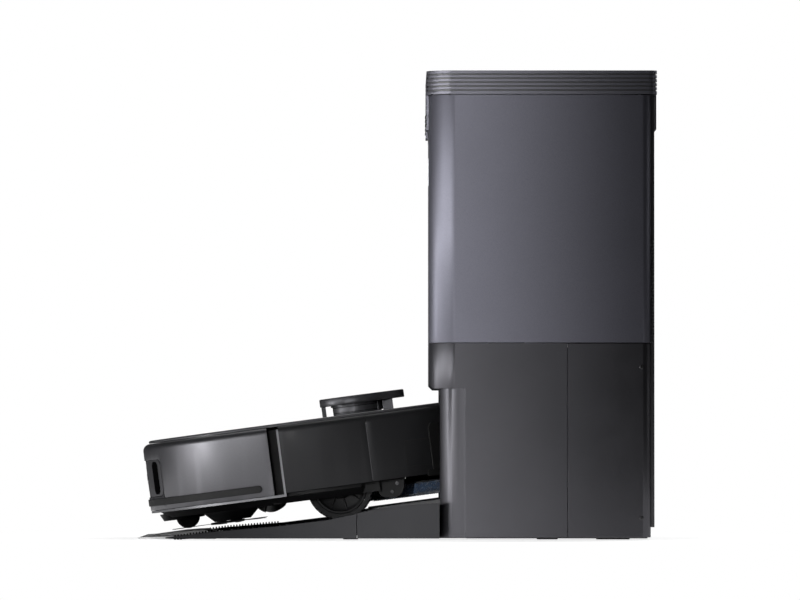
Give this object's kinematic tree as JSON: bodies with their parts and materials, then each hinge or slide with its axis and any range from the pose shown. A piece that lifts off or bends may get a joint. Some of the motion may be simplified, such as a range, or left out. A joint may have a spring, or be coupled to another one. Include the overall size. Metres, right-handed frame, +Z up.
{
  "type": "robot vacuum with docking station",
  "caption": "Round robot vacuum and mop parked up the ramp of its tall docking station, with lift-out water tanks.",
  "frame": {"origin": "on the floor under the middle of the whole object", "axes": "+Z up, -X the way the robot drives out of the station, +Y the robot's right hand side"},
  "size_m": [0.511, 0.367, 0.46],
  "materials": {
    "shell_upper": "satin",
    "shell_band": "satin",
    "shell_lower": "satin",
    "shell_rear": "matt",
    "ramp_plastic": "matt",
    "tray_plastic": "matt",
    "rubber": "matt",
    "steel": "brushed",
    "black_plastic": "matt",
    "handle_plastic": "satin",
    "tank_plastic": "gloss",
    "bag_paper": "matt",
    "robot_side": "satin",
    "robot_top": "satin",
    "frame_trim": "satin",
    "bumper_skin": "satin metallic paint",
    "window_glass": "gloss",
    "turret_satin": "satin",
    "box_plastic": "gloss",
    "battery_wrap": "matt",
    "board": "matt",
    "bristles": "matt",
    "mop_fibre": "looped fibre"
  },
  "bodies": {
    "station": {"ramp_lip": "ramp_plastic", "ramp": "ramp_plastic", "ramp_treads": "rubber", "base_tray": "ramp_plastic", "station_feet": "rubber", "wash_tray": "tray_plastic", "lower_front_shell": "shell_lower", "lower_rear_shell": "shell_lower", "upper_shell": "shell_upper", "rear_cover": "shell_rear", "mains_socket": "black_plastic", "cover_screws": "steel", "bay_liner": "tray_plastic", "charging_contacts": "steel", "station_fan": "black_plastic", "water_pump": "black_plastic", "dust_bag": "bag_paper", "lid_hinge_pin": "steel"},
    "clean_tank": {"clean_tank": "tank_plastic", "clean_tank_cap": "shell_band"},
    "clean_handle": {"clean_tank_handle": "handle_plastic"},
    "dirty_tank": {"dirty_tank": "tank_plastic", "dirty_tank_cap": "shell_band"},
    "dirty_handle": {"dirty_tank_handle": "handle_plastic"},
    "dust_lid": {"dust_lid": "shell_band"},
    "station_button": {"station_button": "handle_plastic"},
    "robot": {"chassis_base": "black_plastic", "mop_bridge": "black_plastic", "arm_pins": "steel", "side_panels": "robot_side", "rear_shell": "robot_side", "bumper_frame": "frame_trim", "top_cover": "robot_top", "battery": "battery_wrap", "suction_fan": "black_plastic", "main_board": "board", "brush_pod": "black_plastic"},
    "bumper": {"bumper": "bumper_skin", "bumper_strip": "rubber", "bumper_window": "window_glass"},
    "turret_drum": {"turret_drum": "turret_satin"},
    "turret_cap": {"turret_cap": "turret_satin"},
    "dust_box": {"dust_box": "box_plastic", "dust_box_lid": "robot_top"},
    "power_button": {"power_button": "handle_plastic"},
    "left_arm": {"left_wheel_arm": "black_plastic"},
    "right_arm": {"right_wheel_arm": "black_plastic"},
    "left_wheel": {"left_hub": "black_plastic", "left_tyre": "rubber"},
    "right_wheel": {"right_hub": "black_plastic", "right_tyre": "rubber"},
    "caster_fork": {"caster_fork": "black_plastic"},
    "caster_wheel": {"caster_wheel": "rubber"},
    "side_brush": {"side_brush": "bristles"},
    "roller_brush": {"roller_brush": "bristles"},
    "mop_carrier": {"mop_carrier": "black_plastic"},
    "left_mop": {"left_mop_plate": "black_plastic", "left_mop_pad": "mop_fibre"},
    "right_mop": {"right_mop_plate": "black_plastic", "right_mop_pad": "mop_fibre"}
  },
  "joints": [
    {"name": "robot_drive_out", "type": "hinge", "parent": "station", "child": "robot", "pos_m": [-0.2988, 0, 1.8959], "axis": [0, 1, 0], "range_deg": [0, 7.5]},
    {"name": "clean_tank_lift", "type": "slide", "parent": "station", "child": "clean_tank", "axis": [0, 0, 1], "range_m": [0, 0.25]},
    {"name": "clean_handle_fold", "type": "hinge", "parent": "clean_tank", "child": "clean_handle", "pos_m": [0.142, 0.084, 0.456], "axis": [1, 0, 0], "range_deg": [0, 90]},
    {"name": "dirty_tank_lift", "type": "slide", "parent": "station", "child": "dirty_tank", "axis": [0, 0, 1], "range_m": [0, 0.25]},
    {"name": "dirty_handle_fold", "type": "hinge", "parent": "dirty_tank", "child": "dirty_handle", "pos_m": [0.142, -0.084, 0.456], "axis": [-1, 0, 0], "range_deg": [0, 90]},
    {"name": "dust_lid_open", "type": "hinge", "parent": "station", "child": "dust_lid", "pos_m": [0.2525, 0, 0.44], "axis": [0, 1, 0], "range_deg": [0, 80]},
    {"name": "station_button_press", "type": "slide", "parent": "station", "child": "station_button", "axis": [1, 0, 0], "range_m": [0, 0.0015], "stiffness_N_per_m": 400, "springref_m": -0.0005},
    {"name": "bumper_press", "type": "slide", "parent": "robot", "child": "bumper", "axis": [0.9914, 0, 0.1305], "range_m": [0, 0.004], "stiffness_N_per_m": 600, "springref_m": -0.003},
    {"name": "turret_drum_spin", "type": "hinge", "parent": "robot", "child": "turret_drum", "pos_m": [-0.0397, 0, 0.12819], "axis": [-0.1305, 0, 0.9914], "continuous": true},
    {"name": "turret_cap_press", "type": "slide", "parent": "robot", "child": "turret_cap", "axis": [0.1305, 0, -0.9914], "range_m": [0, 0.0008], "stiffness_N_per_m": 3000, "springref_m": -0.0008},
    {"name": "dust_box_lift", "type": "slide", "parent": "robot", "child": "dust_box", "axis": [-0.1305, 0, 0.9914], "range_m": [0, 0.09]},
    {"name": "power_button_press", "type": "slide", "parent": "robot", "child": "power_button", "axis": [0.1305, 0, -0.9914], "range_m": [0, 0.001], "stiffness_N_per_m": 400, "springref_m": -0.0005},
    {"name": "left_arm_swing", "type": "hinge", "parent": "robot", "child": "left_arm", "pos_m": [-0.11191, -0.112, 0.05615], "axis": [0, -1, 0], "range_deg": [0, 18], "stiffness_Nm_per_rad": 1.5, "springref_deg": -20.05},
    {"name": "right_arm_swing", "type": "hinge", "parent": "robot", "child": "right_arm", "pos_m": [-0.11191, 0.112, 0.05615], "axis": [0, -1, 0], "range_deg": [0, 18], "stiffness_Nm_per_rad": 1.5, "springref_deg": -20.05},
    {"name": "left_wheel_spin", "type": "hinge", "parent": "left_arm", "child": "left_wheel", "pos_m": [-0.05583, -0.1295, 0.05153], "axis": [0, 1, 0], "continuous": true},
    {"name": "right_wheel_spin", "type": "hinge", "parent": "right_arm", "child": "right_wheel", "pos_m": [-0.05583, 0.1295, 0.05153], "axis": [0, 1, 0], "continuous": true},
    {"name": "caster_swivel", "type": "hinge", "parent": "robot", "child": "caster_fork", "pos_m": [-0.21497, 0, 0.03451], "axis": [-0.1305, 0, 0.9914], "continuous": true},
    {"name": "caster_roll", "type": "hinge", "parent": "caster_fork", "child": "caster_wheel", "pos_m": [-0.20918, 0, 0.02115], "axis": [0, 1, 0], "continuous": true},
    {"name": "side_brush_spin", "type": "hinge", "parent": "robot", "child": "side_brush", "pos_m": [-0.16177, -0.11, 0.01731], "axis": [-0.1305, 0, 0.9914], "continuous": true},
    {"name": "roller_brush_spin", "type": "hinge", "parent": "robot", "child": "roller_brush", "pos_m": [-0.12647, 0, 0.04415], "axis": [0, 1, 0], "continuous": true},
    {"name": "mop_lift", "type": "slide", "parent": "robot", "child": "mop_carrier", "axis": [-0.1305, 0, 0.9914], "range_m": [0, 0.006]},
    {"name": "left_mop_spin", "type": "hinge", "parent": "mop_carrier", "child": "left_mop", "pos_m": [0.02752, -0.06, 0.05433], "axis": [-0.1305, 0, 0.9914], "continuous": true},
    {"name": "right_mop_spin", "type": "hinge", "parent": "mop_carrier", "child": "right_mop", "pos_m": [0.02752, 0.06, 0.05433], "axis": [-0.1305, 0, 0.9914], "continuous": true}
  ],
  "couplings": [
    {"joint": "right_mop_spin", "follows": "left_mop_spin", "ratio": -1}
  ]
}
